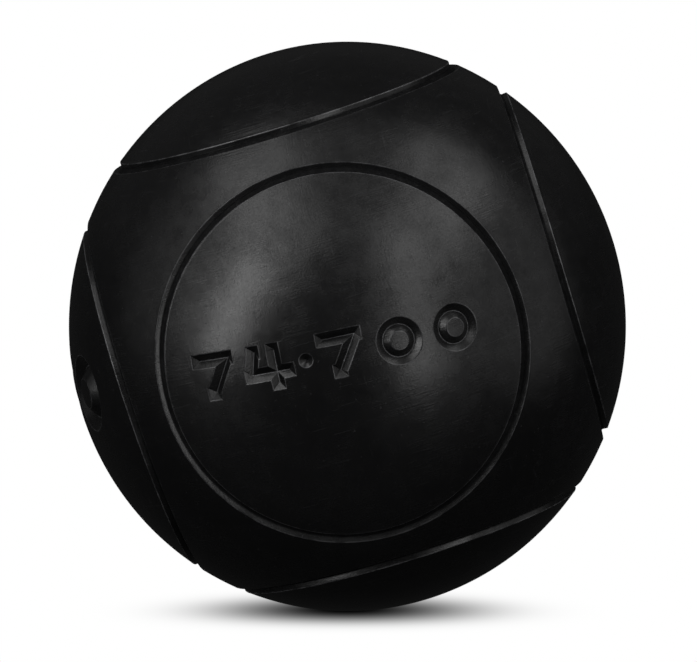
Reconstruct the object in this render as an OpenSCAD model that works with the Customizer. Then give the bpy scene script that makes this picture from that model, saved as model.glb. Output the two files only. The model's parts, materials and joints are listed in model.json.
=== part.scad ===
// Engraved hollow steel bowl for lawn and gravel bowls: two forged half shells, welded
// together, turned true, engraved and coated black.
// The origin is the centre of the ball, +Z is up as it lies, and -Y faces the player.

/* [Ball] */
// Outside diameter of the finished ball
ball_d = 74; // [71:0.5:80]
// Thickness of the steel wall
wall = 6.2; // [5.5:0.1:8]

/* [Ring grooves] */
// Angle at the ball's centre between a face's axis and its ring groove
ring_angle = 39.35; // [34:0.05:40]
// Width of a ring groove at the surface
groove_w = 1.5; // [1.2:0.1:2]
// Width of a ring groove's flat floor
groove_floor_w = 0.7; // [0.3:0.1:1]
// Depth of a ring groove
groove_depth = 0.6; // [0.3:0.05:0.8]
// How far the right ring's axis leans to the rear
right_ring_lean = 2.4; // [-3:0.1:3]
// How far the left ring's axis leans down
left_ring_lean = 2.6; // [-3:0.1:3]
// How far the bottom ring's axis leans to the front
bottom_ring_lean = 2.0; // [-3:0.1:3]

/* [Main mark] */
// Height of the numerals, over their strokes
numeral_h = 6; // [4:0.1:7]
// Width of a numeral's stroke at the surface
numeral_stroke_w = 1.8; // [1:0.1:2]
// Depth of a numeral's stroke
numeral_depth = 0.75; // [0.4:0.05:1.2]
// Turn of the line of numerals against the ring pattern
mark_turn = -5; // [-10:0.5:10]

/* [Side mark] */
// Outside diameter of each round cut on the left face
round_cut_d = 10; // [8:0.5:12]
// Width of the round cut at the surface
round_cut_w = 3; // [2:0.1:3.4]
// Depth of the round cut
round_cut_depth = 1.1; // [0.5:0.1:1.5]

/* [Welded seam] */
// Width of the weld at the surface
weld_w = 4; // [3:0.1:5]
// Depth of the weld, from the surface to its root
weld_depth = 3.6; // [2.5:0.1:4]
// Length of the lip that centres one half shell in the other
lip_h = 1.6; // [1:0.1:3]
// Thickness of that lip
lip_t = 1.2; // [0.8:0.1:1.6]
// Gap all round between the lip and its recess
lip_gap = 0.05; // [0.02:0.01:0.1]

/* [Lie on the ground] */
// Roll of the ring pattern, anticlockwise from the front
lie_roll = 16.8; // [-45:0.1:45]
// How far the marked face looks up
lie_pitch = 5.0; // [-45:0.1:45]
// How far the marked face is turned to its right
lie_yaw = 0.2; // [-45:0.1:45]

/* [Hidden] */

$fn = 144;
black_coat = [0.06, 0.06, 0.065];
rear_coat = [0.08, 0.08, 0.09];
weld_coat = [0.11, 0.11, 0.12];

ball_r = ball_d / 2;
hollow_r = ball_r - wall;
weld_root_r = ball_r - weld_depth;
lip_r = hollow_r + lip_t;

// How far every cutter stands out of the surface
over = 0.6;
// Half of the room round the ball that the trimming blocks fill
clear_of_ball = ball_r + 2;

// Turn of each face about the vertical, from the marked face
FRONT = 0;
RIGHT = 90;
REAR = 180;
LEFT = -90;

// Numerals on a sheet one unit high: each stroke runs from point to point
numeral_7 = [[[-0.5, 0.5], [0.5, 0.5]], [[0.5, 0.5], [-0.12, -0.5]]];
numeral_4 = [[[0.6, -0.18], [-0.6, -0.18]], [[-0.6, -0.18], [-0.42, 0.5]],
             [[0.22, 0.5], [0.22, -0.5]]];
// Line of the strokes: their ends and bends lie on this height
numeral_line_h = numeral_h - numeral_stroke_w;
// Distance from one numeral to the next, and the wider one over the dot
numeral_pitch = 7.6;
dot_pitch = 9.6;
// Distance from the numeral before the dot to the dot
dot_offset = 5;
mark_half_length = (3 * numeral_pitch + dot_pitch) / 2;
// Square chiselled ends lie just inside the strokes they close
stroke_end_w = numeral_stroke_w * 0.97;
stroke_end_depth = numeral_depth * 0.97;
// Middle of the line of numerals, from the marked face's axis
mark_offset = [-0.7, 1];

// Three round cuts in a row on the left face
round_cut_pitch = 12;
side_mark_offset = [0.9, 2.7];

// Angle at the ball's centre for a length along the surface
function arc(length) = length / ball_r * 180 / PI;
// Direction of a point of the flat engraving sheet, wrapped on the ball
function wrapped(p) = [
    sin(arc(p.x)) * cos(arc(p.y)), sin(arc(p.y)), cos(arc(p.x)) * cos(arc(p.y))
];

module as_it_lies() {
    rotate([-lie_pitch, -lie_roll, lie_yaw]) children();
}

// A face has x to its right, y up and z out of the ball
module on_face(turn) {
    rotate([90, 0, turn]) children();
}

// Moves the middle of a face to the given point of its sheet
module at(p) {
    rotate([-arc(p.y), arc(p.x), 0]) children();
}

// A sphere whose poles stay clear of every cut
module ball(r) {
    rotate([45, 35.3, 0]) sphere(r = r);
}

// Section of a V-shaped cut, with its point towards the ball's centre
module vee(w, depth) {
    half_w = w / 2 * (depth + over) / depth;
    polygon([[ball_r - depth, 0], [ball_r + over, half_w], [ball_r + over, -half_w]]);
}

module stroke(from, to) {
    u = wrapped(from);
    across = cross(u, wrapped(to));
    n = across / norm(across);
    v = cross(n, u);
    multmatrix([[u.x, v.x, n.x, 0], [u.y, v.y, n.y, 0], [u.z, v.z, n.z, 0], [0, 0, 0, 1]])
        rotate_extrude(angle = asin(norm(across))) vee(numeral_stroke_w, numeral_depth);
}

// A round pointed pit
module pit(p, w, depth) {
    at(p) translate([0, 0, ball_r - depth])
        cylinder(r1 = 0, r2 = w / 2 * (depth + over) / depth, h = depth + over);
}

// A square pointed pit, with its sides level and upright
module chisel_pit(p, w, depth) {
    half_w = w / 2 * (depth + over) / depth;
    at(p) rotate([0, 0, 45]) translate([0, 0, ball_r - depth])
        cylinder(r1 = 0, r2 = half_w * sqrt(2), h = depth + over, $fn = 4);
}

module round_cut(p, r, w, depth) {
    at(p) rotate_extrude() rotate(90 - arc(r)) vee(w, depth);
}

module numeral(strokes, x) {
    placed = [for (s = strokes) [for (p = s) [x, 0] + p * numeral_line_h]];
    for (i = [0 : len(placed) - 1]) {
        from = placed[i][0];
        to = placed[i][1];
        stroke(from, to);
        // a bend that two strokes share is cut once
        if (i == 0 || from != placed[i - 1][1]) chisel_pit(from, stroke_end_w, stroke_end_depth);
        chisel_pit(to, stroke_end_w, stroke_end_depth);
    }
}

module zero(x) {
    round_cut([x, 0], numeral_line_h / 2, numeral_stroke_w, numeral_depth);
}

// Diameter and mass, as the rules of the game ask: 74 and 700
module main_mark() {
    left = -mark_half_length;
    at(mark_offset) rotate([0, 0, mark_turn]) {
        numeral(numeral_7, left);
        numeral(numeral_4, left + numeral_pitch);
        pit([left + numeral_pitch + dot_offset, 0], numeral_stroke_w, numeral_depth);
        numeral(numeral_7, left + numeral_pitch + dot_pitch);
        zero(left + 2 * numeral_pitch + dot_pitch);
        zero(left + 3 * numeral_pitch + dot_pitch);
    }
}

module side_mark(places) {
    path_r = (round_cut_d - round_cut_w) / 2;
    at(side_mark_offset)
        for (i = places)
            round_cut([i * round_cut_pitch, 0], path_r, round_cut_w, round_cut_depth);
}

// A groove with a flat floor and sloping walls, round the axis of a face
module ring_groove() {
    slope = (groove_w - groove_floor_w) / groove_depth;
    floor_half = groove_floor_w / 2;
    mouth_half = floor_half + slope / 2 * (groove_depth + over);
    rotate_extrude() rotate(90 - ring_angle)
        polygon([[ball_r - groove_depth, -floor_half],
                 [ball_r + over, -mouth_half],
                 [ball_r + over, mouth_half],
                 [ball_r - groove_depth, floor_half]]);
}

// The four rings that the seam crosses
module side_rings() {
    rotate([0, 0, right_ring_lean]) on_face(RIGHT) ring_groove();
    rotate([0, -left_ring_lean, 0]) on_face(LEFT) ring_groove();
    ring_groove();
    rotate([180 - bottom_ring_lean, 0, 0]) ring_groove();
}

// V-shaped channel all round the seam, which the weld fills
module weld_channel() {
    slope = (weld_w / 2) / weld_depth;
    rotate_extrude()
        polygon([[weld_root_r, 0],
                 [ball_r + over, slope * (weld_depth + over)],
                 [ball_r + over, -slope * (weld_depth + over)]]);
}

// Everything on the far side of the joint face
module beyond_joint() {
    translate([0, 0, -clear_of_ball]) cylinder(r = clear_of_ball, h = clear_of_ball);
}

module front_half_shell() {
    color(black_coat) as_it_lies() difference() {
        on_face(FRONT) difference() {
            ball(ball_r);
            ball(hollow_r);
            difference() {
                beyond_joint();
                translate([0, 0, -lip_h]) cylinder(r = lip_r, h = 2 * lip_h);
            }
            weld_channel();
            ring_groove();
            main_mark();
        }
        side_rings();
        on_face(LEFT) side_mark([0, 1]);
    }
}

module rear_half_shell() {
    color(rear_coat) as_it_lies() difference() {
        on_face(REAR) difference() {
            ball(ball_r);
            ball(hollow_r);
            beyond_joint();
            translate([0, 0, -1]) cylinder(r = lip_r + lip_gap, h = lip_h + lip_gap + 1);
            weld_channel();
            ring_groove();
        }
        side_rings();
        on_face(LEFT) side_mark([-1, 0]);
    }
}

module weld_bead() {
    color(weld_coat) as_it_lies() difference() {
        on_face(FRONT) intersection() {
            weld_channel();
            ball(ball_r);
        }
        side_rings();
        on_face(LEFT) side_mark([0]);
    }
}

front_half_shell();
rear_half_shell();
weld_bead();
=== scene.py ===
import json
import math

import bmesh
import bpy
import numpy as np
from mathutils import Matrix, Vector
from mathutils.geometry import delaunay_2d_cdt


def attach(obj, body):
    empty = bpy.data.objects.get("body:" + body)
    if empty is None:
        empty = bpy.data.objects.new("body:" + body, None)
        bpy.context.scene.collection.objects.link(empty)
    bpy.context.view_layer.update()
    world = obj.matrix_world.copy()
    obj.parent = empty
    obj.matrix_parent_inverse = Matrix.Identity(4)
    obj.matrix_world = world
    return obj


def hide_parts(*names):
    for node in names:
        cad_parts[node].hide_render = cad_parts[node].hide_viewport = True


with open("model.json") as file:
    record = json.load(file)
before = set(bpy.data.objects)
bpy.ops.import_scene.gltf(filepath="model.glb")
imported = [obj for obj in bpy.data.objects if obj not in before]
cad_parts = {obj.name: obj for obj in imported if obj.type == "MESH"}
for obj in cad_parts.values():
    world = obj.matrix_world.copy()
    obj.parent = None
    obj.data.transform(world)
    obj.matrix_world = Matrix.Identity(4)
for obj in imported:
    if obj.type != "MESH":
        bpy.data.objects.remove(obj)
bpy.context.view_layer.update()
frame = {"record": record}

# Lengths of the ball are in millimetres, as in the CAD, and turn into metres in new_mesh().
MM = 0.001
ground = next(m for m in frame["record"]["mounts"] if m["name"] == "ground_contact")
BALL_R = -ground["pos_m"][2] / MM

# Shell and welded seam
WALL = 6.2
HOLLOW_R = BALL_R - WALL
WELD_W = 4.0
WELD_DEPTH = 3.6
WELD_ROOT_R = BALL_R - WELD_DEPTH
LIP_H = 1.6
LIP_R = HOLLOW_R + 1.2
LIP_GAP = 0.05

# Ring grooves
RING_ANGLE = math.radians(39.35)
GROOVE_W = 1.5
GROOVE_FLOOR_W = 0.7
GROOVE_DEPTH = 0.6
RIGHT_LEAN, LEFT_LEAN, BOTTOM_LEAN = (math.radians(a) for a in (2.4, 2.6, 2.0))
# Burrs that the turning tool threw up along a groove: side of its middle, height and half width
BURRS = ((-1, 0.022, 0.13), (1, 0.012, 0.11))

# Numerals on the marked face
NUMERAL_H = 6.0
STROKE_W = 1.8
STROKE_DEPTH = 0.75
STROKE_LINE_H = NUMERAL_H - STROKE_W
END_W = STROKE_W * 0.97
END_DEPTH = STROKE_DEPTH * 0.97
NUMERAL_PITCH = 7.6
DOT_PITCH = 9.6
DOT_OFFSET = 5.0
MARK_OFFSET = (-0.7, 1.0)
MARK_TURN = math.radians(-5)
SEVEN = [[(-0.5, 0.5), (0.5, 0.5)], [(0.5, 0.5), (-0.12, -0.5)]]
FOUR = [[(0.6, -0.18), (-0.6, -0.18)], [(-0.6, -0.18), (-0.42, 0.5)], [(0.22, 0.5), (0.22, -0.5)]]

# Round cuts on the left face
ROUND_CUT_D = 10.0
ROUND_CUT_W = 3.0
ROUND_CUT_DEPTH = 1.1
ROUND_CUT_PITCH = 12.0
SIDE_MARK_OFFSET = (0.9, 2.7)

# Every cut's edge and floor is rounded over this much of its depth
ROUNDING = 0.07
# Stands for the distance from a cut where there is none near
FAR = NUMERAL_H
# The slopes of the surface are measured over twice this length
SLOPE_STEP = 0.012

# The painted highlight along the rings' inner edges is strongest round the marked face, and fades between
# these angles from its axis
MARKED_FACE_START, MARKED_FACE_END = math.radians(43), math.radians(49)

# How the ring pattern lies on the ground
LIE_ROLL, LIE_PITCH, LIE_YAW = (math.radians(a) for a in (16.8, 5.0, 0.2))

# Spacing of the mesh's points
PLAIN_STEP = 0.85
RIM_STEP = 0.6
GROOVE_STEP = 0.6
ROUND_CUT_STEP = 0.25
NEAR_MARK_STEP = 0.3
MARK_STEP = 0.075
LATHE_SIDES = 144
HOLLOW_STEPS = 36
# Widths of the band of coarser points round the numerals, and of the ring lines outside a groove
NEAR_MARK_W = 1.2
BESIDE_GROOVE = (0.35, 0.26, 0.2, 0.13, 0.07)
# Points closer than this are joined, which leaves no sliver where lines meet
JOIN_DISTANCE = 0.002


def turn_x(a):
    return np.array([[1, 0, 0], [0, math.cos(a), -math.sin(a)], [0, math.sin(a), math.cos(a)]])


def turn_y(a):
    return np.array([[math.cos(a), 0, math.sin(a)], [0, 1, 0], [-math.sin(a), 0, math.cos(a)]])


def turn_z(a):
    return np.array([[math.cos(a), -math.sin(a), 0], [math.sin(a), math.cos(a), 0], [0, 0, 1]])


def at(x, y):
    """Turn that takes the middle of a face to the point x, y of its sheet."""
    return turn_y(x / BALL_R) @ turn_x(-y / BALL_R)


# The pattern frame has x to the marked face's right, y to its top and z out of it.
RING_AXES = np.array([
    [0, 0, 1],
    [0, 0, -1],
    [0, 1, 0],
    [0, -math.cos(BOTTOM_LEAN), math.sin(BOTTOM_LEAN)],
    [math.cos(RIGHT_LEAN), 0, -math.sin(RIGHT_LEAN)],
    [-math.cos(LEFT_LEAN), -math.sin(LEFT_LEAN), 0],
])
PATTERN_TO_ROW = turn_z(LIE_YAW) @ turn_y(-LIE_ROLL) @ turn_x(-LIE_PITCH) @ turn_x(math.radians(90))
# The pattern's own axes, in the row's frame
RIGHT, TOP, FRONT = (tuple(axis) for axis in PATTERN_TO_ROW.T)
LEFT_FACE = turn_y(math.radians(-90))
MARK_FRAME = at(*MARK_OFFSET) @ turn_z(MARK_TURN)
SIDE_MARK_FRAME = LEFT_FACE @ at(*SIDE_MARK_OFFSET)
ROUND_CUT_R = (ROUND_CUT_D - ROUND_CUT_W) / 2
ROUND_CUTS = [SIDE_MARK_FRAME @ at(i * ROUND_CUT_PITCH, 0)[:, 2] for i in (-1, 0, 1)]


# ---------------------------------------------------------------------------
# The cuts in the ball's surface, as a depth for each direction from its centre
# ---------------------------------------------------------------------------

def rounded(x, k=ROUNDING):
    """max(x, 0), with the corner at 0 rounded over k to each side."""
    return np.where(x <= -k, 0.0, np.where(x >= k, x, (x + k) ** 2 / (4 * k)))


def ring_section(t):
    """Depth of a ring groove at the distance t from its middle, less than nothing on its burrs."""
    slope = GROOVE_DEPTH / ((GROOVE_W - GROOVE_FLOOR_W) / 2)
    wall = rounded(slope * (GROOVE_W / 2 - np.abs(t)))
    depth = GROOVE_DEPTH - rounded(GROOVE_DEPTH - wall)
    for side, height, half_w in BURRS:
        beyond = (side * t - GROOVE_W / 2) / half_w - 1
        depth = depth - height * np.where(np.abs(beyond) < 1, (1 - beyond ** 2) ** 2, 0)
    return depth


def vee_section(t, width, depth):
    """Depth of a V-shaped cut at the distance t from its middle."""
    return rounded(depth * (1 - 2 * t / width))


def placed_strokes():
    """Each stroke of the two kinds of straight numeral, as two points of the mark's sheet."""
    left = -(3 * NUMERAL_PITCH + DOT_PITCH) / 2
    places = [(SEVEN, left), (FOUR, left + NUMERAL_PITCH), (SEVEN, left + NUMERAL_PITCH + DOT_PITCH)]
    strokes = []
    for numeral, x in places:
        for stroke in numeral:
            strokes.append([np.array([x, 0]) + STROKE_LINE_H * np.array(p) for p in stroke])
    return strokes


STROKES = placed_strokes()
DOT_X = -(3 * NUMERAL_PITCH + DOT_PITCH) / 2 + NUMERAL_PITCH + DOT_OFFSET
ZEROS_X = [(3 * NUMERAL_PITCH + DOT_PITCH) / 2 - i * NUMERAL_PITCH for i in (1, 0)]


def mark_cuts(sheet):
    """Depth of the numerals, and distance from their edge and root, at points of the mark's sheet."""
    depths, edges, roots = [], [], []
    for a, b in STROKES:
        along = (b - a) / np.linalg.norm(b - a)
        across = np.array([-along[1], along[0]])
        u = (sheet - a) @ along
        beyond = np.maximum(np.maximum(-u, u - np.linalg.norm(b - a)), 0)
        t = np.hypot((sheet - a) @ across, beyond)
        depths.append(np.where(beyond > 0, 0, vee_section(t, STROKE_W, STROKE_DEPTH)))
        edges.append(t - STROKE_W / 2)
        roots.append(t)
        for end in (a, b):
            t = np.abs(sheet - end).max(1)
            depths.append(vee_section(t, END_W, END_DEPTH))
            edges.append(t - END_W / 2)
    for x in ZEROS_X:
        t = np.abs(np.hypot(sheet[:, 0] - x, sheet[:, 1]) - STROKE_LINE_H / 2)
        depths.append(vee_section(t, STROKE_W, STROKE_DEPTH))
        edges.append(t - STROKE_W / 2)
        roots.append(t)
    t = np.hypot(sheet[:, 0] - DOT_X, sheet[:, 1])
    depths.append(vee_section(t, STROKE_W, STROKE_DEPTH))
    edges.append(t - STROKE_W / 2)
    return np.max(depths, axis=0), np.min(edges, axis=0), np.min(roots, axis=0)


def to_mark_sheet(d):
    local = d @ MARK_FRAME
    x = np.arctan2(local[:, 0], local[:, 2])
    return BALL_R * np.stack([x, np.arcsin(np.clip(local[:, 1], -1, 1))], 1)


def from_mark_sheet(sheet):
    lon, lat = sheet.T / BALL_R
    local = np.stack([np.sin(lon) * np.cos(lat), np.sin(lat), np.cos(lon) * np.cos(lat)], 1)
    return local @ MARK_FRAME.T


def distance_to(d, centre):
    """Distance along the surface from the directions d to a centre."""
    return BALL_R * np.arccos(np.clip(d @ centre, -1, 1))


def ring_distances(d):
    """Distance of the directions d outside the middle of each ring groove."""
    return [distance_to(d, axis) - BALL_R * RING_ANGLE for axis in RING_AXES]


def cuts(d):
    """Depth of the cuts in the directions d, and distance outside the nearest edge and from a V's root."""
    rings = ring_distances(d)
    depths = [sum(ring_section(t) for t in rings)]
    edges = [np.abs(t) - GROOVE_W / 2 for t in rings]
    roots = []
    for centre in ROUND_CUTS:
        t = np.abs(distance_to(d, centre) - ROUND_CUT_R)
        depths.append(vee_section(t, ROUND_CUT_W, ROUND_CUT_DEPTH))
        edges.append(t - ROUND_CUT_W / 2)
        roots.append(t)
    marked = distance_to(d, MARK_FRAME[:, 2]) < (3 * NUMERAL_PITCH + DOT_PITCH) / 2 + NUMERAL_H
    mark = np.full((3, len(d)), FAR)
    mark[0] = 0
    if marked.any():
        mark[:, marked] = mark_cuts(to_mark_sheet(d[marked]))
    deepest = np.max(depths + [mark[0]], axis=0)
    depth = np.where(deepest > 0, deepest, depths[0])
    return depth, np.min(edges + [mark[1]], axis=0), np.min(roots + [mark[2]], axis=0)


def surface_normals(d, depth):
    """Exact outward normals of the cut ball in the directions d."""
    step = SLOPE_STEP / BALL_R
    aside = np.where(np.abs(d[:, :1]) < 0.7, [[1.0, 0, 0]], [[0, 1.0, 0]])
    u = np.cross(d, aside)
    u /= np.linalg.norm(u, axis=1)[:, None]
    v = np.cross(d, u)
    normal = (BALL_R - depth)[:, None] * d
    for t in (u, v):
        rise = cuts(d + step * t)[0] - cuts(d - step * t)[0]
        normal += (rise / (2 * step))[:, None] * t
    return normal / np.linalg.norm(normal, axis=1)[:, None]


# ---------------------------------------------------------------------------
# Points and lines of one half's outside, on a plane the half is projected on
# ---------------------------------------------------------------------------

def flat(d):
    """Stereographic projection, with the seam on the unit circle."""
    return d[:, :2] / (1 + np.abs(d[:, 2:]))


def unflat(p, side):
    rr = (p ** 2).sum(1)
    d = np.column_stack([2 * p, side * (1 - rr)]) / (1 + rr)[:, None]
    return d / np.linalg.norm(d, axis=1)[:, None]


def rows_across(levels):
    """The given distances from a cut's middle, to both its sides."""
    return sorted(set([-t for t in levels] + list(levels)))


def ring_rows():
    ease = ROUNDING * (GROOVE_W - GROOVE_FLOOR_W) / 2 / GROOVE_DEPTH
    half, foot = GROOVE_W / 2, GROOVE_FLOOR_W / 2
    levels = [half + beside for beside in BESIDE_GROOVE]
    levels += [half + ease / 2, half, half - ease, (half + foot) / 2]
    levels += [foot + ease, foot, foot - ease, 0]
    return [BALL_R * RING_ANGLE + t for t in rows_across(levels)]


def round_cut_rows():
    ease = ROUNDING * ROUND_CUT_W / 2 / ROUND_CUT_DEPTH
    half = ROUND_CUT_W / 2
    levels = [half + 3 * ease, half + ease, half, half - ease, half * 0.6, half * 0.3, 0.04, 0]
    return [ROUND_CUT_R + t for t in rows_across(levels)]


def circle(centre, radius, step, side):
    """Points of a circle on the ball, on one side of the seam plane; its ends lie on the seam."""
    angle = radius / BALL_R
    u = np.cross([0, 0, 1], centre)
    u = u / np.linalg.norm(u) if np.linalg.norm(u) > 1e-9 else np.array([1.0, 0, 0])
    v = np.cross(centre, u)
    start, end, crosses = 0, 2 * math.pi, False
    if abs(v[2]) > 1e-9:
        lift = -math.cos(angle) * centre[2] / (math.sin(angle) * v[2])
        crosses = abs(lift) < 1
    if crosses:
        low = math.asin(lift)
        start, end = (low, math.pi - low) if side > 0 else (math.pi - low, 2 * math.pi + low)
    elif side * centre[2] < 0:
        return None
    count = max(4, math.ceil(BALL_R * math.sin(angle) * (end - start) / step))
    psi = np.linspace(start, end, count + 1)[:, None]
    d = math.cos(angle) * centre + math.sin(angle) * (np.cos(psi) * u + np.sin(psi) * v)
    if crosses:
        d[[0, -1], 2] = 0
        d[[0, -1]] /= np.linalg.norm(d[[0, -1]], axis=1)[:, None]
    return d


def cut_lines(side):
    """Lines that run along the ring grooves and the round cuts on one side of the seam."""
    lines = []
    for axis in RING_AXES:
        lines += [circle(axis, r, GROOVE_STEP, side) for r in ring_rows()]
    for centre in ROUND_CUTS:
        lines += [circle(centre, r, ROUND_CUT_STEP, side) for r in round_cut_rows()]
    return [line for line in lines if line is not None]


def seam_azimuths(lines):
    """Angles round the seam: every place where a cut's line meets it, and even steps between."""
    ends = [line[i] for line in lines for i in (0, -1) if abs(line[i, 2]) < 1e-12]
    met = np.unique(np.round([math.atan2(e[1], e[0]) for e in ends], 9))
    count = round(2 * math.pi * BALL_R / RIM_STEP)
    even = np.linspace(-math.pi, math.pi, count, endpoint=False)
    gap = np.abs(even[:, None] - met[None, :]).min(1) * BALL_R
    return np.sort(np.concatenate([met, even[gap > RIM_STEP * 0.4]]))


def weld_edge(azimuth, side):
    """Directions of the line where the weld's flank comes out of the ball."""
    slope = WELD_W / 2 / WELD_DEPTH
    rise = np.full(len(azimuth), math.asin(WELD_W / 2 / BALL_R))
    for _ in range(12):
        d = np.stack([np.cos(rise) * np.cos(azimuth), np.cos(rise) * np.sin(azimuth),
                      side * np.sin(rise)], 1)
        r = BALL_R - cuts(d)[0]
        rise = np.arcsin(slope * (np.cos(rise) - WELD_ROOT_R / r))
    return d


def even_points(step):
    """Evenly spread directions over the whole ball."""
    count = round(4 * math.pi * BALL_R ** 2 / (step ** 2 * 0.866))
    i = np.arange(count) + 0.5
    z = 1 - 2 * i / count
    turn = i * math.pi * (3 - math.sqrt(5))
    r = np.sqrt(1 - z ** 2)
    return np.stack([r * np.cos(turn), r * np.sin(turn), z], 1)


def sheet_grid(step, margin):
    """Triangular grid over the mark's sheet, with a margin round the numerals."""
    half_w = (3 * NUMERAL_PITCH + DOT_PITCH + NUMERAL_H) / 2 + margin
    half_h = NUMERAL_H / 2 + margin
    xs = np.arange(-half_w, half_w, step)
    ys = np.arange(-half_h, half_h, step * math.sqrt(3) / 2)
    x, y = np.meshgrid(xs, ys)
    x[1::2] += step / 2
    return np.stack([x.ravel(), y.ravel()], 1)


def mark_points():
    """Fine points in the numerals and coarser ones round them."""
    fine = sheet_grid(MARK_STEP, 1.0)
    edge = mark_cuts(fine)[1]
    near = sheet_grid(NEAR_MARK_STEP, 2.0)
    near_edge = mark_cuts(near)[1]
    fine = fine[edge < 2 * MARK_STEP]
    near = near[(near_edge > 3.5 * MARK_STEP) & (near_edge < NEAR_MARK_W)]
    return from_mark_sheet(np.vstack([fine, near]))


def plain_points(side):
    """Points of the plain surface, clear of every cut and of the weld's edge."""
    d = even_points(PLAIN_STEP)
    height = side * d[:, 2] * BALL_R
    d = d[(height > 0.5 * PLAIN_STEP) & (np.abs(height - WELD_W / 2) > 0.4 * PLAIN_STEP)]
    edge = cuts(d)[1]
    on_mark = mark_cuts(to_mark_sheet(d))[1] < NEAR_MARK_W + 0.1
    on_mark &= d @ MARK_FRAME[:, 2] > 0
    return d[(edge > 0.55 * PLAIN_STEP) & ~on_mark]


def half_outside(side):
    """Directions and triangles of one half's outside, and which triangles lie inside the weld's edge."""
    lines = cut_lines(side)
    azimuth = seam_azimuths(lines)
    seam = np.stack([np.cos(azimuth), np.sin(azimuth), np.zeros(len(azimuth))], 1)
    edge = weld_edge(azimuth, side)
    points, edges, count = [], [], 0
    for line, closed in [(seam, True), (edge, True)] + [(line, False) for line in lines]:
        n = len(line)
        points.append(flat(line))
        edges += [(count + i, count + i + 1) for i in range(n - 1)]
        if closed:
            edges.append((count + n - 1, count))
        count += n
    points.append(flat(plain_points(side)))
    if side > 0:
        points.append(flat(mark_points()))
    shell_face = list(range(len(seam), 2 * len(seam)))
    out = delaunay_2d_cdt([Vector(p) for p in np.vstack(points)], edges, [shell_face], 0, 1e-8, True)
    p = np.array([v[:] for v in out[0]])
    tris = np.array([f[:] for f in out[2]])
    in_shell = np.array([len(f) > 0 for f in out[5]])
    return unflat(p, side), tris[:, ::side], in_shell


# ---------------------------------------------------------------------------
# Closed pieces
# ---------------------------------------------------------------------------

class Surface:
    """Vertices, triangles and the outside's exact normals, gathered piece by piece."""

    def __init__(self):
        self.co, self.tris, self.outer = [], [], []
        self.values = {"normal": [], "cut_edge": [], "root": [], "ring": []}
        self.count = 0

    def add_points(self, co, **values):
        n = len(co)
        self.co.append(co)
        for label, gathered in self.values.items():
            plain = np.zeros((n, 3)) if label == "normal" else np.full(n, FAR)
            gathered.append(values.get(label, plain))
        self.count += n
        return np.arange(self.count - n, self.count)

    def add_tris(self, tris, outer=False):
        self.tris.append(np.asarray(tris))
        self.outer.append(np.full(len(tris), outer))

    def add_outside(self, d, tris):
        used, tris = np.unique(tris, return_inverse=True)
        d = d[used]
        depth, edge, root = cuts(d)
        rings = np.array(ring_distances(d))
        nearest = rings[np.abs(rings).argmin(0), np.arange(len(d))]
        index = self.add_points((BALL_R - depth)[:, None] * d, normal=surface_normals(d, depth),
                                cut_edge=edge, root=root, ring=nearest)
        self.add_tris(index[tris.reshape(-1, 3)], outer=True)

    def rims(self):
        """The open edge loops, each in the order of the angle round the seam's axis, front one first."""
        tris = np.vstack(self.tris)
        co = np.vstack(self.co)
        pairs = np.sort(np.vstack([tris[:, [0, 1]], tris[:, [1, 2]], tris[:, [2, 0]]]), axis=1)
        unique, times = np.unique(pairs, axis=0, return_counts=True)
        free = np.unique(unique[times == 1])
        loops = []
        for side in (1, -1):
            loop = free[side * co[free, 2] > 0]
            if len(loop):
                loops.append(loop[np.argsort(np.arctan2(co[loop, 1], co[loop, 0]))])
        return loops

    def add_ring(self, r, z):
        turn = np.linspace(-math.pi, math.pi, LATHE_SIDES, endpoint=False)
        return self.add_points(np.stack([r * np.cos(turn), r * np.sin(turn), np.full(LATHE_SIDES, z)], 1))

    def zip_loops(self, a, b):
        """Triangles between two loops that both run once round the seam's axis."""
        co = np.vstack(self.co)
        turn = [np.arctan2(co[loop, 1], co[loop, 0]) for loop in (a, b)]
        ahead = [np.append(t[1:], t[0] + 2 * math.pi) for t in turn]
        tris, i, j = [], 0, 0
        while i < len(a) or j < len(b):
            a_next, b_next = a[(i + 1) % len(a)], b[(j + 1) % len(b)]
            if j == len(b) or (i < len(a) and ahead[0][i] <= ahead[1][j]):
                tris.append((a[i], a_next, b[j % len(b)]))
                i += 1
            else:
                tris.append((a[i % len(a)], b_next, b[j]))
                j += 1
        self.add_tris(tris)

    def lathe_inside(self, loop, profile):
        """Closes the piece from an open loop, through turned rings, to a last point on the axis."""
        for r, z in profile[:-1]:
            ring = self.add_ring(r, z)
            self.zip_loops(loop, ring)
            loop = ring
        tip = self.add_points(np.array([[0, 0, profile[-1][1]]]))[0]
        self.add_tris([(loop[i], loop[(i + 1) % len(loop)], tip) for i in range(len(loop))])


def merge_close(surface):
    """Joins vertices that share a place, such as both halves' points on the seam."""
    co, tris = np.vstack(surface.co), np.vstack(surface.tris)
    _, first, same = np.unique(np.round(co, 4), axis=0, return_index=True, return_inverse=True)
    surface.tris = [first[same.reshape(-1)][tris]]


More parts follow.
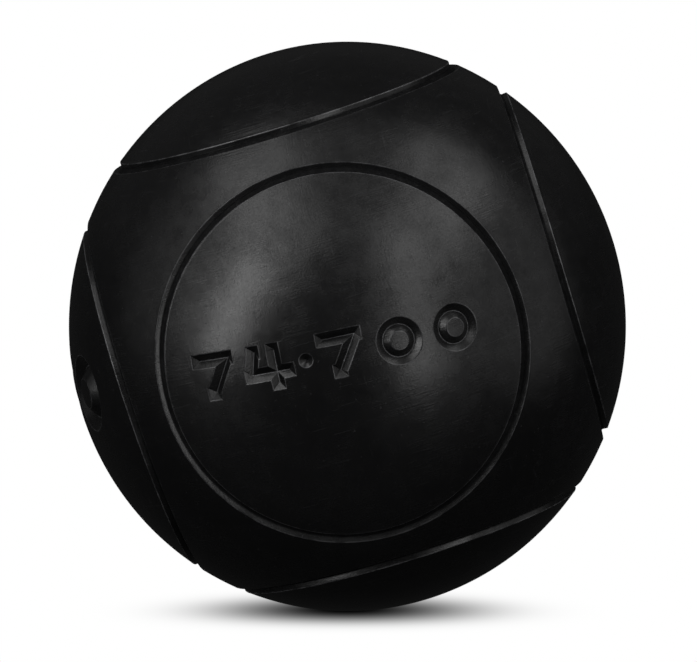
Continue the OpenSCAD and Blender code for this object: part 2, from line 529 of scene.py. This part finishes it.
def new_mesh(name, surface):
    """A Blender object from a surface, in metres and in the row's frame."""
    co, tris = np.vstack(surface.co), np.vstack(surface.tris)
    solid = (tris[:, 0] != tris[:, 1]) & (tris[:, 1] != tris[:, 2]) & (tris[:, 2] != tris[:, 0])
    outer = np.concatenate(surface.outer)[solid]
    used, tris = np.unique(tris[solid], return_inverse=True)
    tris = tris.reshape(-1, 3)
    mesh = bpy.data.meshes.new(name)
    mesh.from_pydata((co[used] @ PATTERN_TO_ROW.T * MM).tolist(), [], tris.tolist())
    for label in ("cut_edge", "root", "ring"):
        attribute = mesh.attributes.new(label, "FLOAT", "POINT")
        attribute.data.foreach_set("value", np.concatenate(surface.values[label])[used].astype(np.float32))
    flag = mesh.attributes.new("outer", "BOOLEAN", "FACE")
    flag.data.foreach_set("value", outer)
    normal = mesh.attributes.new("exact_normal", "FLOAT_VECTOR", "POINT")
    exact = np.vstack(surface.values["normal"])[used] @ PATTERN_TO_ROW.T
    normal.data.foreach_set("vector", exact.ravel())
    clean(mesh)
    shade_exactly(mesh)
    piece = bpy.data.objects.new(name, mesh)
    bpy.context.scene.collection.objects.link(piece)
    return piece


def clean(mesh):
    """Joins points that nearly share a place, and turns every face outwards."""
    bm = bmesh.new()
    bm.from_mesh(mesh)
    bmesh.ops.remove_doubles(bm, verts=bm.verts, dist=JOIN_DISTANCE * MM)
    bmesh.ops.recalc_face_normals(bm, faces=bm.faces)
    bm.to_mesh(mesh)
    bm.free()


def shade_exactly(mesh):
    """The outside takes the cut ball's own normals; every other face is flat."""
    mesh.polygons.foreach_set("use_smooth", np.ones(len(mesh.polygons), bool))
    mesh.update()
    corners = np.empty(len(mesh.loops), np.int32)
    mesh.loops.foreach_get("vertex_index", corners)
    exact = np.empty(len(mesh.vertices) * 3, np.float32)
    mesh.attributes["exact_normal"].data.foreach_get("vector", exact)
    outer = np.empty(len(mesh.polygons), bool)
    mesh.attributes["outer"].data.foreach_get("value", outer)
    plain = np.empty(len(mesh.polygons) * 3, np.float32)
    mesh.polygons.foreach_get("normal", plain)
    by_face = np.repeat(plain.reshape(-1, 3), 3, axis=0)
    normals = np.where(np.repeat(outer, 3)[:, None], exact.reshape(-1, 3)[corners], by_face)
    mesh.normals_split_custom_set(normals.tolist())
    mesh.attributes.remove(mesh.attributes["exact_normal"])
    mesh.attributes.remove(mesh.attributes["outer"])


def hollow_profile(side, r_start, z_start):
    """Rings of the hollow's wall, from the given ring to its pole."""
    first = math.atan2(z_start, r_start)
    angles = np.linspace(first, math.pi / 2, HOLLOW_STEPS + 1)
    return [(HOLLOW_R * math.cos(a), side * HOLLOW_R * math.sin(a)) for a in angles]


def front_half_shell(d, tris):
    shell = Surface()
    shell.add_outside(d, tris)
    lip_end_r = math.sqrt(HOLLOW_R ** 2 - LIP_H ** 2)
    joint = [(WELD_ROOT_R, 0), (LIP_R, 0), (LIP_R, -LIP_H)]
    shell.lathe_inside(shell.rims()[0], joint + hollow_profile(1, lip_end_r, -LIP_H))
    return new_mesh("front_half_shell_look", shell)


def rear_half_shell(d, tris):
    shell = Surface()
    shell.add_outside(d, tris)
    recess_r, recess_h = LIP_R + LIP_GAP, LIP_H + LIP_GAP
    floor_r = math.sqrt(HOLLOW_R ** 2 - recess_h ** 2)
    joint = [(WELD_ROOT_R, 0), (recess_r, 0), (recess_r, -recess_h)]
    shell.lathe_inside(shell.rims()[0], joint + hollow_profile(-1, floor_r, recess_h))
    return new_mesh("rear_half_shell_look", shell)


def weld_bead(front, rear):
    weld = Surface()
    for d, tris in (front, rear):
        weld.add_outside(d, tris)
    merge_close(weld)
    root = weld.add_ring(WELD_ROOT_R, 0)
    for rim in weld.rims():
        weld.zip_loops(rim, root)
    return new_mesh("weld_bead_look", weld)


# ---------------------------------------------------------------------------
# Material
# ---------------------------------------------------------------------------

class NodeTree:
    """Short calls for building a node tree; every call gives back the new node's output."""

    def __init__(self, owner):
        owner.use_nodes = True
        self.tree = owner.node_tree

    def feed(self, socket, value):
        if isinstance(value, bpy.types.NodeSocket):
            self.tree.links.new(value, socket)
        else:
            socket.default_value = value

    def node(self, kind, inputs=(), **settings):
        node = self.tree.nodes.new(kind)
        for key, value in settings.items():
            setattr(node, key, value)
        for key, value in dict(inputs).items():
            self.feed(node.inputs[key], value)
        return node

    def math(self, operation, a, b=0.0, clamp=False):
        node = self.node("ShaderNodeMath", {0: a, 1: b}, operation=operation, use_clamp=clamp)
        return node.outputs[0]

    def sum(self, *values):
        total = values[0]
        for value in values[1:]:
            total = self.math("ADD", total, value)
        return total

    def product(self, *values):
        total = values[0]
        for value in values[1:]:
            total = self.math("MULTIPLY", total, value)
        return total

    def about_half(self, value, amount):
        """The value's distance from a half, times an amount."""
        return self.math("MULTIPLY", self.math("SUBTRACT", value, 0.5), amount)

    def magnitude(self, value):
        return self.math("ABSOLUTE", value)

    def dot(self, vector, axis):
        node = self.node("ShaderNodeVectorMath", {0: vector, 1: axis}, operation="DOT_PRODUCT")
        return node.outputs["Value"]

    def step(self, value, start, end, low=0.0, high=1.0):
        """Goes smoothly from low to high while value goes from start to end."""
        ends = {"Value": value, "From Min": start, "From Max": end, "To Min": low, "To Max": high}
        return self.node("ShaderNodeMapRange", ends, interpolation_type="SMOOTHSTEP").outputs["Result"]

    def noise(self, place, detail=2.0, roughness=0.5):
        inputs = {"Vector": place, "Scale": 1.0, "Detail": detail, "Roughness": roughness}
        return self.node("ShaderNodeTexNoise", inputs).outputs["Fac"]

    def attribute(self, name):
        return self.node("ShaderNodeAttribute", attribute_name=name).outputs["Fac"]

    def vector(self, operation, a, b=(0, 0, 0)):
        return self.node("ShaderNodeVectorMath", {0: a, 1: b}, operation=operation).outputs["Vector"]

    def scaled(self, vector, factor):
        inputs = {0: vector, "Scale": factor}
        return self.node("ShaderNodeVectorMath", inputs, operation="SCALE").outputs["Vector"]

    def joined(self, x, y, z):
        return self.node("ShaderNodeCombineXYZ", {"X": x, "Y": y, "Z": z}).outputs["Vector"]


# Sizes of the coat's spots, in millimetres
BLOTCH_SIZE, PATCH_SIZE, MOTTLE_SIZE = 14, 9, 2.2
SPECK_SIZE, GRAIN_SIZE = 0.4, 0.22
# Brushed lines and scratches round the pattern's top and right axes: length and pitch
TOP_LINES, RIGHT_LINES = (3.0, 0.15), (3.0, 0.17)
TOP_SCRATCHES, RIGHT_SCRATCHES = (5.0, 0.14), (4.0, 0.14)
# How far the patterns stand out of the surface
GRAIN_H, MOTTLE_H, TOP_LINES_H, RIGHT_LINES_H, SCRATCH_H = 0.012, 0.008, 0.024, 0.006, -0.002
COAT_ROUGHNESS = 0.26
COAT_SHADE = 0.005
COAT_SPECULAR = 0.5
LEAST_SPECULAR = 0.03
# Colour of uncoated steel: on edges with wear, and as a painted highlight along the rings' inner edges and in
# the roots of the V cuts
BARE_AND_HIGHLIGHT_SHADE = 0.32
# The coat is slightly blue
BLUE_SHARE = 1.04
# Distance over which the wear on a cut's edge, and the painted highlight at a ring's inner edge and in the
# root of a V, fade
WEAR_AND_HIGHLIGHT_START, WEAR_AND_HIGHLIGHT_END = 0.02, 0.09


def turning_lines(tree, place, axis, length, pitch, detail=2.0):
    """Noise drawn out along the circles round an axis, as polishing on a lathe leaves it."""
    along = 1 / length
    height = tree.math("MULTIPLY", tree.dot(place, axis), 1 / pitch - along)
    stretched = tree.vector("ADD", tree.scaled(place, along), tree.scaled(axis, height))
    return tree.noise(stretched, detail)


def coat_patterns(tree, place):
    """The coat's blotches, mottle, grain, specks, brushed lines and scratches."""
    def spots(size, detail, roughness=0.5):
        return tree.noise(tree.scaled(place, 1 / size), detail, roughness)

    patches = tree.step(spots(PATCH_SIZE, 2.0), 0.35, 0.65)
    top_scratches = tree.step(turning_lines(tree, place, TOP, *TOP_SCRATCHES, 1.0), 0.71, 0.77)
    right_scratches = tree.step(turning_lines(tree, place, RIGHT, *RIGHT_SCRATCHES, 1.0), 0.73, 0.79)
    return {
        "blotches": spots(BLOTCH_SIZE, 3.0),
        "mottle": spots(MOTTLE_SIZE, 4.0, 0.6),
        "grain": spots(GRAIN_SIZE, 1.0),
        "specks": tree.step(spots(SPECK_SIZE, 1.0), 0.72, 0.8),
        "top_lines": tree.product(patches, tree.about_half(turning_lines(tree, place, TOP, *TOP_LINES), 1.0)),
        "right_lines": turning_lines(tree, place, RIGHT, *RIGHT_LINES),
        "scratches": tree.math("ADD", top_scratches, right_scratches, clamp=True),
    }


def wear_and_painted_highlight(tree, place, mottle):
    """Share of uncoated steel: wear on every cut's edge, and painted highlights as a stronger line along the
    rings' inner edges, most round the marked face, and as a line in the root of a V.
    """
    ring = tree.attribute("ring")
    to_edge = tree.magnitude(tree.math("SUBTRACT", tree.attribute("cut_edge"), WEAR_AND_HIGHLIGHT_START))
    at_edge = tree.step(to_edge, WEAR_AND_HIGHLIGHT_START, WEAR_AND_HIGHLIGHT_END, 1.0, 0.0)
    far_out, near_in = -0.95, -0.6
    inner_edge = tree.step(ring, far_out, near_in, 1.0, 0.0)
    far_from_ring = tree.step(tree.magnitude(ring), 1.0, 1.2)
    marked_face = tree.step(tree.dot(place, FRONT), BALL_R * math.cos(MARKED_FACE_END),
                            BALL_R * math.cos(MARKED_FACE_START), 0.35, 1.5)
    # Painted highlight: a stronger line of uncoated steel along the rings' inner edges, most round the marked
    # face, stands in for the light caught there
    inner_edge_highlight = tree.product(inner_edge, tree.math("SUBTRACT", 1.0, far_from_ring), marked_face)
    edge_wear_and_highlight = tree.product(at_edge, tree.math("ADD", 0.2, inner_edge_highlight))
    worn_and_highlight = tree.product(tree.step(mottle, 0.35, 0.65, 0.15, 1.0), edge_wear_and_highlight)
    # Painted highlight: a line of uncoated steel in the root of each V stands in for the light caught there
    in_root = tree.step(tree.attribute("root"), WEAR_AND_HIGHLIGHT_START, WEAR_AND_HIGHLIGHT_END, 1.0, 0.0)
    root_highlight = tree.product(in_root, tree.step(mottle, 0.3, 0.6, 0.1, 0.4))
    return tree.math("ADD", worn_and_highlight, root_highlight, clamp=True)


def coated_steel(name):
    """Satin black coat on steel that was polished on a lathe: fine grain, faint lines, edges with wear, and
    painted highlights along the rings' inner edges and in the roots of the V cuts.
    """
    material = bpy.data.materials.new(name)
    tree = NodeTree(material)
    place = tree.scaled(tree.node("ShaderNodeTexCoord").outputs["Object"], 1 / MM)
    coat = coat_patterns(tree, place)
    # Uncoated steel on edges with wear, and painted highlights along the rings' inner edges and in the roots
    # of the V cuts
    bare_and_highlight = wear_and_painted_highlight(tree, place, coat["mottle"])
    foot = GROOVE_FLOOR_W / 2
    groove_floor = tree.step(tree.magnitude(tree.attribute("ring")), foot, foot + 0.15, 1.0, 0.0)

    roughness = tree.sum(
        COAT_ROUGHNESS,
        tree.about_half(coat["blotches"], 0.14),
        tree.about_half(coat["mottle"], 0.14),
        tree.product(coat["top_lines"], 0.15),
        tree.product(bare_and_highlight, 0.15),
        tree.product(groove_floor, 0.4),
    )
    # Colour: the coat's own tone, with uncoated steel from wear and from the painted highlights
    shade = tree.sum(
        COAT_SHADE,
        tree.product(coat["blotches"], 0.004),
        tree.product(coat["scratches"], 0.012),
        tree.product(coat["specks"], 0.02),
        tree.product(bare_and_highlight, BARE_AND_HIGHLIGHT_SHADE),
    )
    specular = tree.sum(
        COAT_SPECULAR,
        tree.about_half(coat["grain"], 0.45),
        tree.about_half(coat["mottle"], 0.5),
        tree.product(groove_floor, -0.44),
    )
    height = tree.sum(
        tree.product(coat["grain"], GRAIN_H),
        tree.product(coat["mottle"], MOTTLE_H),
        tree.product(coat["top_lines"], TOP_LINES_H),
        tree.product(coat["right_lines"], RIGHT_LINES_H),
        tree.product(coat["scratches"], SCRATCH_H),
    )
    bump = tree.node("ShaderNodeBump", {"Height": height, "Distance": MM, "Strength": 1.0})
    shader = tree.tree.nodes["Principled BSDF"]
    tree.feed(shader.inputs["Base Color"], tree.joined(shade, shade, tree.product(shade, BLUE_SHARE)))
    tree.feed(shader.inputs["Metallic"], bare_and_highlight)
    tree.feed(shader.inputs["Roughness"], roughness)
    tree.feed(shader.inputs["Specular IOR Level"], tree.math("MAXIMUM", specular, LEAST_SPECULAR))
    tree.feed(shader.inputs["Normal"], bump.outputs["Normal"])
    return material


# ---------------------------------------------------------------------------
# The object
# ---------------------------------------------------------------------------

front_d, front_tris, front_in_shell = half_outside(1)
rear_d, rear_tris, rear_in_shell = half_outside(-1)
pieces = {
    "front_half_shell": front_half_shell(front_d, front_tris[front_in_shell]),
    "rear_half_shell": rear_half_shell(rear_d, rear_tris[rear_in_shell]),
    "weld_bead": weld_bead((front_d, front_tris[~front_in_shell]), (rear_d, rear_tris[~rear_in_shell])),
}
for node, piece in pieces.items():
    piece.data.materials.append(coated_steel(node + "_coat"))
    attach(piece, "root")
    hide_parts(node)

# ---------------------------------------------------------------------------
# Floor, light and camera
# ---------------------------------------------------------------------------

CAMERA_DISTANCE = 21.6 * BALL_R * MM
CAMERA_ABOVE = math.radians(12)
CAMERA_LENS = 303.65
CAMERA_SHIFT = (0.0016, -1.8035)
# In metres: half the floor's side, and a move of the camera that ends its lens shift
FLOOR_HALF = 4.0
CAMERA_MOVED = 0.1
# Soft shadow under the ball, in millimetres: reach to its sides and to the viewer, and how far its
# middle lies before the point where the ball stands
SHADOW_W = 26.0
SHADOW_L = 9.9
SHADOW_AHEAD = 4.0
# Its light is 1 - exp(-depth * reach ** edge)
SHADOW_DEPTH = 2.65
SHADOW_EDGE = 3.1

# Panels of light round the ball: direction as azimuth and elevation from the camera's side, width and
# height, tilt, brightness and how soft the border is. Angles are in degrees.
PANELS = {
    "left_strip": (-49, 14, 14, 42, -18, 4.5, 0.5),
    "left_halo": (-55, 23, 44, 60, -8, 0.62, 0.9),
    "left_wide": (-80, 18, 50, 60, 0, 0.22, 0.9),
    "left_glow": (-40, 43, 34, 36, 0, 1.05, 0.8),
    "left_top": (-82, 58, 40, 30, 0, 1.0, 0.9),
    "left_top_high": (-92, 68, 24, 6, 0, 0.8, 0.6),
    "left_top_low": (-80, 53, 34, 7, 0, 0.8, 0.6),
    "middle": (-5, 28, 60, 60, 0, 0.05, 0.9),
    "right_column": (29, 17, 15, 60, 0, 1.85, 0.7),
    "right_column_halo": (33, 16, 46, 56, 0, 0.28, 0.9),
    "right_main": (42, 43, 40, 28, 0, 0.78, 0.7),
    "right_core": (42, 50, 20, 14, 0, 0.3, 0.9),
    "right_low": (31, -3, 18, 15, 0, 1.0, 0.7),
    "right_low_glow": (33, -16, 40, 36, 0, 0.12, 0.9),
    "right_top": (84, 56, 40, 30, 0, 0.9, 0.8),
    "right_slat_high": (86, 66, 22, 5, 0, 0.7, 0.6),
    "right_slat_low": (78, 48, 34, 7, 0, 0.9, 0.6),
    "right_fill": (76, 16, 56, 64, 0, 0.42, 0.9),
    "top_fill": (0, 72, 90, 60, 0, 0.35, 0.9),
    "back_top": (180, 58, 140, 100, 0, 0.024, 0.9),
    "front_low": (-6, -38, 120, 76, 0, 0.025, 0.9),
    "left_low": (-58, -14, 40, 34, 0, 0.1, 0.9),
}
SURROUND = 0.015
# How square the panels' corners are: 2 makes an ellipse
PANEL_CORNER = 3.0


def soft_panel(tree, toward, azimuth, elevation, width, height, tilt, brightness, softness):
    """Brightness of one panel of light in the direction toward, which is in the camera's frame."""
    a, e, t = (math.radians(angle) for angle in (azimuth, elevation, tilt))
    middle = Vector((math.sin(a) * math.cos(e), math.sin(e), -math.cos(a) * math.cos(e)))
    side = Vector((math.cos(a), 0, math.sin(a)))
    up = side.cross(middle)
    across, along = side * math.cos(t) + up * math.sin(t), up * math.cos(t) - side * math.sin(t)
    ahead = tree.dot(toward, middle)
    powers = []
    for axis, angle in ((across, width), (along, height)):
        share = tree.math("DIVIDE", tree.dot(toward, axis), math.tan(math.radians(angle / 2)))
        share = tree.math("DIVIDE", share, tree.math("MAXIMUM", ahead, 0.01))
        powers.append(tree.math("POWER", tree.magnitude(share), PANEL_CORNER))
    inside = tree.step(tree.sum(*powers), 1 + softness, 1 - softness)
    return tree.product(inside, tree.step(ahead, 0.0, 0.1), brightness)


def light_studio():
    """Panels that stand round the camera in a dark room. The camera itself sees a white backdrop."""
    world = bpy.data.worlds.new("studio")
    tree = NodeTree(world)
    toward = tree.node("ShaderNodeTexCoord").outputs["Camera"]
    light = tree.sum(SURROUND, *(soft_panel(tree, toward, *panel) for panel in PANELS.values()))
    room = tree.node("ShaderNodeBackground", {"Strength": light})
    backdrop = tree.node("ShaderNodeBackground", {"Color": (1, 1, 1, 1), "Strength": 1.0})
    seen = tree.node("ShaderNodeLightPath").outputs["Is Camera Ray"]
    mix = tree.node("ShaderNodeMixShader", {0: seen, 1: room.outputs[0], 2: backdrop.outputs[0]})
    tree.feed(tree.tree.nodes["World Output"].inputs["Surface"], mix.outputs[0])
    bpy.context.scene.world = world


def make_floor():
    """White floor with a soft shadow below the ball. It sends no light up, and is clear from below."""
    z = -BALL_R * MM
    corners = [(x * FLOOR_HALF, y * FLOOR_HALF, z) for x, y in ((-1, -1), (1, -1), (1, 1), (-1, 1))]
    mesh = bpy.data.meshes.new("floor")
    mesh.from_pydata(corners, [], [(0, 1, 2, 3)])
    material = bpy.data.materials.new("white_floor")
    tree = NodeTree(material)
    place = tree.node("ShaderNodeTexCoord").outputs["Object"]
    geometry = tree.node("ShaderNodeNewGeometry").outputs
    ahead = tree.vector("NORMALIZE", tree.vector("MULTIPLY", geometry["Incoming"], (1, 1, 0)))
    aside = tree.vector("CROSS_PRODUCT", ahead, (0, 0, 1))
    across = tree.math("DIVIDE", tree.dot(place, aside), SHADOW_W * MM)
    along = tree.math("SUBTRACT", tree.dot(place, ahead), SHADOW_AHEAD * MM)
    along = tree.math("DIVIDE", along, SHADOW_L * MM)
    reach = tree.math("ADD", tree.product(across, across), tree.product(along, along))
    fade = tree.product(tree.math("POWER", reach, SHADOW_EDGE / 2), -SHADOW_DEPTH)
    light = tree.math("SUBTRACT", 1.0, tree.math("EXPONENT", fade))
    glow = tree.node("ShaderNodeEmission", {"Strength": light}).outputs[0]
    clear = tree.node("ShaderNodeBsdfTransparent").outputs[0]
    one_sided = tree.node("ShaderNodeMixShader", {0: geometry["Backfacing"], 1: glow, 2: clear})
    tree.feed(tree.tree.nodes["Material Output"].inputs["Surface"], one_sided.outputs[0])
    mesh.materials.append(material)
    floor = bpy.data.objects.new("floor", mesh)
    floor.visible_glossy = floor.visible_diffuse = False
    bpy.context.scene.collection.objects.link(floor)


def make_camera():
    """Level camera that looks over the ball, with its lens shifted down to frame it."""
    data = bpy.data.cameras.new("camera")
    data.sensor_width = 36
    data.lens = CAMERA_LENS
    data.clip_start = 0.01
    camera = bpy.data.objects.new("camera", data)
    camera.location = Vector((0, -math.cos(CAMERA_ABOVE), math.sin(CAMERA_ABOVE))) * CAMERA_DISTANCE
    camera.rotation_euler = (math.radians(90), 0, 0)
    home = bpy.data.objects.new("camera_home", None)
    home.location = camera.location
    for item in (camera, home):
        bpy.context.scene.collection.objects.link(item)
    bpy.context.scene.camera = camera
    for axis, shift in zip("xy", CAMERA_SHIFT):
        shift_only_at_home(camera, home, "shift_" + axis, shift)


def shift_only_at_home(camera, home, path, shift):
    """Drives the lens shift by the camera's distance from home: moved elsewhere, it looks straight on."""
    curve = camera.data.driver_add(path)
    for modifier in list(curve.modifiers):
        curve.modifiers.remove(modifier)
    curve.driver.type = "SUM"
    distance = curve.driver.variables.new()
    distance.type = "LOC_DIFF"
    distance.targets[0].id, distance.targets[1].id = camera, home
    for metres, value in ((0.0, shift), (CAMERA_MOVED, 0.0)):
        curve.keyframe_points.insert(metres, value).interpolation = "CONSTANT"


make_floor()
light_studio()
make_camera()
bpy.context.scene.view_settings.view_transform = "Standard"
